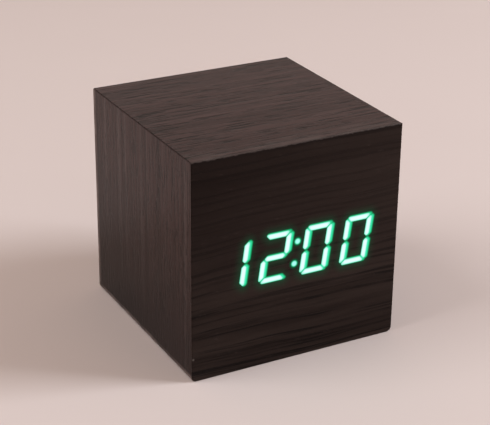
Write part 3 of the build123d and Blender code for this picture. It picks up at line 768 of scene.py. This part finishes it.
plastics = {
    "panelPlastic": {
        "tones": ((0.010, 0.010, 0.0105), (0.014, 0.014, 0.0145)),
        "rough": (0.42, 0.58), "grain": 0.32, "depth": 0.02, "on": ("back_panel", "battery_door"),
    },
    "inletPlastic": {
        "tones": ((0.006, 0.006, 0.0065), (0.009, 0.009, 0.0095)),
        "rough": (0.25, 0.36), "grain": 0.5, "depth": 0.006, "on": ("inlet_housing",),
    },
    "buttonPlastic": {
        "tones": ((0.055, 0.056, 0.058), (0.070, 0.071, 0.073)),
        "rough": (0.36, 0.5), "grain": 0.4, "depth": 0.01,
        "on": ("set_button", "up_button", "down_button"),
    },
    "plungerPlastic": {
        "tones": ((0.70, 0.66, 0.56), (0.76, 0.72, 0.62)),
        "rough": (0.38, 0.52), "grain": 0.3, "depth": 0.012,
        "on": ("set_plunger", "up_plunger", "down_plunger"),
    },
    "switchPlastic": {
        "tones": ((0.016, 0.016, 0.017), (0.024, 0.024, 0.025)),
        "rough": (0.38, 0.52), "grain": 0.3, "depth": 0.012, "on": ("switch_bodies", "buzzer"),
    },
    "headerPlastic": {
        "tones": ((0.72, 0.70, 0.64), (0.80, 0.78, 0.72)),
        "rough": (0.38, 0.52), "grain": 0.3, "depth": 0.012, "on": ("display_header", "control_header"),
    },
    "reflectorPlastic": {
        "tones": ((0.78, 0.79, 0.78), (0.86, 0.87, 0.86)),
        "rough": (0.3, 0.42), "grain": 0.5, "depth": 0.006, "on": ("display_reflector",),
    },
    "diffuserPlastic": {
        "tones": ((0.70, 0.72, 0.72), (0.80, 0.82, 0.82)),
        "rough": (0.5, 0.62), "grain": 0.2, "depth": 0.01, "on": ("diffuser_sheet",),
    },
    "lightChip": {
        "tones": ((0.74, 0.76, 0.52), (0.85, 0.86, 0.66)),
        "rough": (0.2, 0.3), "grain": 0.6, "depth": 0.004, "on": ("segment_lights",),
    },
    "chipEpoxy": {
        "tones": ((0.012, 0.012, 0.013), (0.020, 0.020, 0.022)),
        "rough": (0.5, 0.66), "grain": 0.2, "depth": 0.012, "on": ("controller_chip",),
    },
    "resistorGlaze": {
        "tones": ((0.020, 0.020, 0.024), (0.05, 0.05, 0.055)),
        "rough": (0.2, 0.35), "grain": 0.3, "depth": 0.012, "on": ("segment_resistors",),
    },
    "redSleeve": {
        "tones": ((0.42, 0.022, 0.018), (0.50, 0.034, 0.026)),
        "rough": (0.35, 0.48), "grain": 0.6, "depth": 0.008, "on": ("positive_lead",),
    },
    "blackSleeve": {
        "tones": ((0.012, 0.012, 0.012), (0.02, 0.02, 0.02)),
        "rough": (0.35, 0.48), "grain": 0.6, "depth": 0.008, "on": ("negative_lead",),
    },
    "signPaint": {
        "tones": ((0.42, 0.42, 0.41), (0.50, 0.50, 0.49)),
        "rough": (0.5, 0.62), "grain": 0.25, "depth": 0.01, "on": (),
    },
}
flowSize = (7, 7, 7)   # clouds of the two tones in a moulding, mm
mouldedBump = 0.5


def moulded(name, look):
    material, tree, shader = startMaterial(name)
    flow = noise(tree, flowSize)
    spark = noise(tree, [look["grain"]] * 3, detail=2.0)
    fill(tree, shader, {
        "Base Color": blendColour(tree, remap(tree, flow, *noiseSpan), *look["tones"]),
        "Roughness": remap(tree, spark, *noiseSpan, *look["rough"]),
    })
    bumpy(tree, shader, spark, mouldedBump, look["depth"])
    return material


plasticOf = {}
for name, look in plastics.items():
    plasticOf[name] = moulded(name, look)
    dress(plasticOf[name], *look["on"])
print("plastics on")


# metals: two tones, roughness, size of the brush marks in mm, and the nodes

metals = {
    "screwSteel": {
        "tones": ((0.42, 0.42, 0.43), (0.52, 0.52, 0.53)),
        "rough": (0.26, 0.42), "brush": (0.4, 0.4, 0.4), "on": ("display_screws", "control_screws"),
    },
    "nickelSteel": {
        "tones": ((0.60, 0.58, 0.54), (0.70, 0.68, 0.64)),
        "rough": (0.16, 0.30), "brush": (1.5, 0.2, 0.2),
        "on": ("cell_springs", "bridge_contacts", "terminal_contacts", "inlet_leaf", "watch_crystal"),
    },
    "pinBrass": {
        "tones": ((0.62, 0.45, 0.20), (0.72, 0.54, 0.27)),
        "rough": (0.18, 0.3), "brush": (0.4, 0.4, 0.4), "on": ("inlet_pin",),
    },
    "capsuleSteel": {
        "tones": ((0.46, 0.46, 0.47), (0.55, 0.55, 0.56)),
        "rough": (0.3, 0.45), "brush": (0.4, 0.4, 0.4), "on": ("microphone",),
    },
}
metalWear = {"cell": (3, 3, 3), "detail": 4.0, "rough": 0.6}
metalCut = (0.35, 0.65)
metalBump = (0.35, 0.006)


def metal(name, look):
    material, tree, shader = startMaterial(name)
    wear = noise(tree, **metalWear)
    brush = noise(tree, look["brush"], detail=2.0)
    fill(tree, shader, {
        "Base Color": blendColour(tree, remap(tree, wear, *metalCut), *look["tones"]),
        "Metallic": 1.0,
        "Roughness": remap(tree, brush, *noiseSpan, *look["rough"]),
    })
    bumpy(tree, shader, brush, *metalBump)
    return material


for name, look in metals.items():
    dress(metal(name, look), *look["on"])

# painted shade in the cross recess of the panel screws, darker by depth under the head's face

panelScrew = {  # lengths in mm
    "headRadius": 1.9,
    "recessRadius": 1.3,
    "recessDepth": (0.06, 0.35),
    "recessShade": (0.018, 0.017, 0.016),
}


def shadedRecess():
    material = metal("panelScrewSteel", metals["screwSteel"])
    tree, screw = material.node_tree, panelScrew
    shader = tree.nodes["Principled BSDF"]
    low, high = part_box("panel_screws")
    parts = axes(tree)
    fromAxis = []
    for i, side in ((0, "X"), (2, "Z")):
        fromMiddle = calc(tree, "ABSOLUTE", calc(tree, "SUBTRACT", parts[side], (low[i] + high[i]) / 2))
        fromScrew = calc(tree, "SUBTRACT", fromMiddle, (high[i] - low[i]) / 2 - screw["headRadius"] * mm)
        fromAxis.append(times(tree, fromScrew, fromScrew))
    inside = calc(tree, "LESS_THAN", calc(tree, "ADD", *fromAxis), (screw["recessRadius"] * mm) ** 2)
    depth = calc(tree, "SUBTRACT", high[1], parts["Y"])
    # painted shade, darker deeper in the recess
    recessShade = times(tree, inside, ramp(tree, depth, *screw["recessDepth"]))
    steel = shader.inputs["Base Color"].links[0].from_socket
    feed(tree, blendColour(tree, recessShade, steel, screw["recessShade"]), shader.inputs["Base Color"])
    return material


dress(shadedRecess(), "panel_screws")
print("metals on")


# bare fibreboard behind the film

fibre = {
    "ground": (0.16, 0.10, 0.055),
    "pale": (0.27, 0.185, 0.11),
    "dark": (0.085, 0.05, 0.028),
    "clumpNoise": {"cell": (2.2, 2.2, 2.2), "detail": 4.0, "rough": 0.6},
    "threadNoise": {"cell": (0.7, 0.18, 0.18), "detail": 2.0, "warp": 1.5},
    "clumpCut": (0.35, 0.65),
    "threadCut": (0.60, 0.74, 0.0, 0.7),
    "rough": (0.75, 0.9),
    "bump": (0.5, 0.05),
}


def fibreboard():
    material, tree, shader = startMaterial("bareFibreboard")
    clump = noise(tree, **fibre["clumpNoise"])
    thread = noise(tree, **fibre["threadNoise"])
    colour = blendColour(tree, remap(tree, clump, *fibre["clumpCut"]), fibre["ground"], fibre["pale"])
    colour = blendColour(tree, remap(tree, thread, *fibre["threadCut"]), colour, fibre["dark"])
    fill(tree, shader, {
        "Base Color": colour,
        "Roughness": remap(tree, clump, *noiseSpan, *fibre["rough"]),
    })
    bumpy(tree, shader, thread, *fibre["bump"])
    return material


dress(fibreboard(), "front_board", "corner_blocks")


# circuit boards: green mask over copper runs

circuit = {
    "mask": (0.012, 0.085, 0.030),
    "shade": (0.008, 0.060, 0.022),
    "copper": (0.035, 0.160, 0.050),
    "cloudSize": (6, 6, 6),
    "layout": {"offset": 0.37, "squash": 0.6, "squash_frequency": 3},
    "runs": {"Scale": 190.0, "Mortar Size": 0.05, "Brick Width": 1.7, "Row Height": 0.24},
    "rough": (0.25, 0.36),
    "bump": (0.4, 0.02),
}


def circuitBoard():
    material, tree, shader = startMaterial("circuitBoard")
    cloud = noise(tree, circuit["cloudSize"], detail=2.0)
    colour = blendColour(tree, remap(tree, cloud, *noiseSpan), circuit["mask"], circuit["shade"])
    turned = put(tree, "ShaderNodeMapping")
    turned.inputs["Rotation"].default_value = (math.radians(90), 0, 0)
    tree.links.new(place(tree), turned.inputs["Vector"])
    runs = put(tree, "ShaderNodeTexBrick", **circuit["layout"])
    fill(tree, runs, circuit["runs"])
    tree.links.new(turned.outputs["Vector"], runs.inputs["Vector"])
    fill(tree, shader, {
        "Base Color": blendColour(tree, runs.outputs["Fac"], colour, circuit["copper"]),
        "Roughness": remap(tree, cloud, *noiseSpan, *circuit["rough"]),
    })
    bumpy(tree, shader, runs.outputs["Fac"], *circuit["bump"])
    return material


dress(circuitBoard(), "display_board", "control_board")


# flat cable: grey wires side by side, the edge one red, with painted shade in the grooves between them

flatCable = {
    "pitch": 1.27,
    "grey": (0.30, 0.30, 0.31),
    "groove": (0.15, 0.15, 0.155),
    "edge": (0.45, 0.03, 0.025),
    "ridgeCut": (0.1, 0.5),
    "scuffSize": (1, 1, 1),
    "rough": (0.4, 0.55),
    "bump": (0.6, 0.15),
}


def flatCableSkin():
    cable = flatCable
    material, tree, shader = startMaterial("flatCable")
    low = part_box("ribbon_cable")[0]
    x = axes(tree)["X"]
    phase = times(tree, calc(tree, "SUBTRACT", x, low[0]), math.pi / (cable["pitch"] * mm))
    ridge = calc(tree, "ABSOLUTE", calc(tree, "SINE", phase))
    # painted shade in the grooves between the wires
    colour = blendColour(tree, remap(tree, ridge, *cable["ridgeCut"]), cable["groove"], cable["grey"])
    first = calc(tree, "LESS_THAN", x, low[0] + cable["pitch"] * mm)
    fill(tree, shader, {
        "Base Color": blendColour(tree, first, colour, cable["edge"]),
        "Roughness": remap(tree, noise(tree, cable["scuffSize"]), *noiseSpan, *cable["rough"]),
    })
    bumpy(tree, shader, ridge, *cable["bump"])
    return material


dress(flatCableSkin(), "ribbon_cable")


# cells: printed sleeve, bare steel ends, plus and minus signs

cellLook = {  # lengths in mm, from the middle of the cell
    "sleeve": (0.035, 0.075, 0.16),
    "shade": (0.028, 0.060, 0.13),
    "band": (0.62, 0.62, 0.60),
    "steel": (0.60, 0.59, 0.57),
    "sign": (0.85, 0.85, 0.83),
    "bandStart": 9.0,
    "bandEnd": 10.2,
    "sleeveEnd": 21.1,
    "signPlace": 15.5,
    "signReach": 1.7,
    "signStroke": 0.42,
    "cloudSize": (5, 5, 5),
    "scuffSize": (0.8, 0.8, 0.8),
    "dentSize": (2.5, 1.2, 1.2),
    "rough": (0.26, 0.36),
    "bump": (0.25, 0.02),
}


def cellSleeve(name, node, plusSide):
    cell = cellLook
    material, tree, shader = startMaterial(name)
    low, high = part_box(node)
    middleX, middleZ = (low[0] + high[0]) / 2, (low[2] + high[2]) / 2
    parts = axes(tree)
    x = times(tree, calc(tree, "SUBTRACT", parts["X"], middleX), plusSide / mm)
    z = times(tree, calc(tree, "SUBTRACT", parts["Z"], middleZ), 1 / mm)

    def near(value, target, reach):
        return calc(tree, "COMPARE", value, target, reach)

    colour = remap(tree, noise(tree, cell["cloudSize"]), *noiseSpan)
    colour = blendColour(tree, colour, cell["sleeve"], cell["shade"])
    bandMiddle = (cell["bandStart"] + cell["bandEnd"]) / 2
    bandReach = (cell["bandEnd"] - cell["bandStart"]) / 2
    colour = blendColour(tree, near(x, bandMiddle, bandReach), colour, cell["band"])
    reach, stroke = cell["signReach"], cell["signStroke"]
    level = times(tree, near(x, cell["signPlace"], reach), near(z, 0.0, stroke))
    upright = times(tree, near(x, cell["signPlace"], stroke), near(z, 0.0, reach))
    minus = times(tree, near(x, -cell["signPlace"], reach), near(z, 0.0, stroke))
    printed = calc(tree, "MAXIMUM", calc(tree, "MAXIMUM", level, upright), minus)
    colour = blendColour(tree, printed, colour, cell["sign"])
    bare = calc(tree, "GREATER_THAN", calc(tree, "ABSOLUTE", x), cell["sleeveEnd"])
    fill(tree, shader, {
        "Base Color": blendColour(tree, bare, colour, cell["steel"]),
        "Metallic": bare,
        "Roughness": remap(tree, noise(tree, cell["scuffSize"]), *noiseSpan, *cell["rough"]),
    })
    bumpy(tree, shader, noise(tree, cell["dentSize"]), *cell["bump"])
    return material


for node, plusSide in (("lower_cell", 1), ("middle_cell", -1), ("upper_cell", 1)):
    dress(cellSleeve(node + "_sleeve", node, plusSide), node)
print("boards, cable and cells dressed")


# raised signs on the back: ring, up and down by the buttons, an arrow on the door

signs = {  # lengths in mm
    "rise": 0.16,
    "bevel": 0.07,
    "sink": -0.02,        # the foot of a sign lies under the face
    "size": 1.05,
    "above": 4.35,
    "arrowFoot": 0.62,    # shares of an arrow's size below and above its place
    "arrowPoint": 0.95,
    "hoopRadius": 0.75,   # share of the size
    "hoopWidth": 0.42,
    "hoopSteps": 40,
    "doorSize": 2.3,
    "doorDrop": 9.2,
}


def raisedShape(bm, ring, face):
    rise, bevel = signs["rise"], signs["bevel"]
    rows = []
    for by, up in ((0, signs["sink"]), (0, rise - bevel), (-bevel, rise)):
        rows.append([bm.verts.new((x * mm, (face + up) * mm, z * mm)) for x, z in grown(ring, by)])
    joinRows(bm, rows)
    bm.faces.new(rows[-1])
    bm.faces.new(rows[0][::-1])


def raisedHoop(bm, x, z, radius, face):
    # a round hoop with bevelled lips
    half, rise, bevel, sink = signs["hoopWidth"] / 2, signs["rise"], signs["bevel"], signs["sink"]
    profile = [(-half, sink), (-half, rise - bevel), (-half + bevel, rise),
               (half - bevel, rise), (half, rise - bevel), (half, sink)]
    rows = []
    for i in range(signs["hoopSteps"]):
        a = math.tau * i / signs["hoopSteps"]
        row = []
        for out, up in profile:
            reach = radius + out
            spot = ((x + reach * math.cos(a)) * mm, (face + up) * mm, (z + reach * math.sin(a)) * mm)
            row.append(bm.verts.new(spot))
        rows.append(row)
    joinRows(bm, rows + rows[:1])


def signMesh(name, shape):
    bm = bmesh.new()
    shape(bm)
    bmesh.ops.recalc_face_normals(bm, faces=bm.faces)
    return meshFrom(bm, name)


def arrow(x, z, size, way):
    foot, point = z - way * size * signs["arrowFoot"], z + way * size * signs["arrowPoint"]
    return hull([(x - size, foot), (x + size, foot), (x, point)])


def middleOf(node):
    low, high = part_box(node)
    return (low[0] + high[0]) / 2 / mm, (low[2] + high[2]) / 2 / mm


def panelSigns(bm):
    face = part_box("back_panel")[1][1] / mm
    for node, way in (("up_button", 1), ("down_button", -1)):
        x, z = middleOf(node)
        raisedShape(bm, arrow(x, z + signs["above"], signs["size"], way), face)
    x, z = middleOf("set_button")
    raisedHoop(bm, x, z + signs["above"], signs["size"] * signs["hoopRadius"], face)


def doorSign(bm):
    x = middleOf("battery_door")[0]
    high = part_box("battery_door")[1]
    raisedShape(bm, arrow(x, high[2] / mm - signs["doorDrop"], signs["doorSize"], -1), high[1] / mm)


panelMesh = signMesh("panelSigns", panelSigns)
addPiece("panel_signs", panelMesh, "case", plasticOf["signPaint"])
doorMesh = signMesh("doorArrow", doorSign)
addPiece("door_arrow", doorMesh, "battery_door", plasticOf["panelPlastic"])
print("signs on the back")


# floor, light and camera

stage = {  # lengths in m, the clouds in mm
    "floor": (0.680, 0.602, 0.572),
    "floorShade": (0.668, 0.590, 0.560),
    "floorRings": (0.15, 0.4, 0.9, 2.0, 5.0),
    "floorPoints": 64,
    "floorLevel": -0.00004,       # just clear of the foot of the clock
    "floorRough": 0.9,
    "cloudSize": (60, 60, 60),
    "backdrop": (0.680, 0.562, 0.520),
    "fade": (0.40, 1.10),         # from lit floor to backdrop, from the middle
    "horizon": (0.632, 0.529, 0.492),
    "zenith": (0.300, 0.190, 0.120),
    "dome": (0.15, 0.95),         # from horizon to zenith
    "aim": (0, 0, 0.03),
    "lamps": [  # place, power, size and colour of the soft lamps right and left of the camera
        ((0.98, -0.532, 0.784), 15.2, (0.48, 0.59), (0.885, 0.929, 1.0)),
        ((-0.78, 0.13, 0.858), 5.7, (0.65, 0.65), (0.952, 0.961, 1.0)),
    ],
}


def paleFloor():
    bm = bmesh.new()
    rows = []
    for radius in stage["floorRings"]:
        ring = circle(0, 0, radius, stage["floorPoints"])
        rows.append([bm.verts.new((x, y, stage["floorLevel"])) for x, y in ring])
    bm.faces.new(rows[0])
    joinRows(bm, rows[::-1])
    mesh = meshFrom(bm, "paleFloor")
    floor = bpy.data.objects.new("paleFloor", mesh)
    bpy.context.scene.collection.objects.link(floor)
    material, tree, shader = startMaterial("paleFloor")
    away = put(tree, "ShaderNodeVectorMath", operation="LENGTH")
    tree.links.new(place(tree), away.inputs[0])
    ray = put(tree, "ShaderNodeLightPath").outputs
    mirrored = calc(tree, "MAXIMUM", ray["Is Glossy Ray"], ray["Is Transmission Ray"])
    seen = calc(tree, "MAXIMUM", ray["Is Camera Ray"], mirrored)
    # the floor keeps its tone past the lamps
    far = times(tree, remap(tree, away.outputs["Value"], *stage["fade"]), seen)
    cloud = noise(tree, stage["cloudSize"], detail=2.0)
    colour = blendColour(tree, cloud, stage["floor"], stage["floorShade"])
    fill(tree, shader, {
        "Base Color": blendColour(tree, far, colour, black),
        "Emission Color": stage["backdrop"],
        "Emission Strength": far,
        "Roughness": stage["floorRough"],
        "Specular IOR Level": 0.0,
    })
    mesh.materials.append(material)


def softLight():
    world = bpy.data.worlds.new("softRoom")
    bpy.context.scene.world = world
    world.use_nodes = True
    tree = world.node_tree
    height = split(tree, put(tree, "ShaderNodeTexCoord").outputs["Generated"])["Z"]
    dome = blendColour(tree, remap(tree, height, *stage["dome"]), stage["horizon"], stage["zenith"])
    seen = put(tree, "ShaderNodeLightPath").outputs["Is Camera Ray"]
    feed(tree, blendColour(tree, seen, dome, stage["backdrop"]), tree.nodes["Background"].inputs["Color"])
    for number, (where, power, size, colour) in enumerate(stage["lamps"]):
        lamp = bpy.data.lights.new(f"softLamp{number}", "AREA")
        lamp.shape = "RECTANGLE"
        lamp.size, lamp.size_y = size
        lamp.energy = power
        lamp.color = colour
        stand = bpy.data.objects.new(lamp.name, lamp)
        stand.location = where
        stand.rotation_euler = (Vector(stage["aim"]) - stand.location).to_track_quat("-Z", "Y").to_euler()
        bpy.context.scene.collection.objects.link(stand)


view = {  # lengths in m, lens and sensor in mm, angles in degrees
    "place": (-0.18545, -0.34445, 0.20752),
    "azimuth": -28.424,
    "elevation": 24.279,
    "roll": 0.657,
    "lens": 109.479,
    "sensor": 36.0,
    "nearest": 0.01,
}


def photoCamera():
    az, el, roll = (math.radians(view[angle]) for angle in ("azimuth", "elevation", "roll"))
    back = Vector((math.sin(az) * math.cos(el), -math.cos(az) * math.cos(el), math.sin(el)))
    level = Vector((math.cos(az), math.sin(az), 0))
    upright = back.cross(level)
    right = level * math.cos(roll) + upright * math.sin(roll)
    up = back.cross(right)
    turned = Matrix((right, up, back)).transposed().to_4x4()
    data = bpy.data.cameras.new("photoCamera")
    data.sensor_fit = "HORIZONTAL"
    data.sensor_width = view["sensor"]
    data.lens = view["lens"]
    data.clip_start = view["nearest"]
    camera = bpy.data.objects.new("photoCamera", data)
    camera.matrix_world = Matrix.Translation(view["place"]) @ turned
    bpy.context.scene.collection.objects.link(camera)
    bpy.context.scene.camera = camera


paleFloor()
softLight()
photoCamera()
bpy.context.scene.view_settings.view_transform = "Standard"
print("floor, light and camera set")
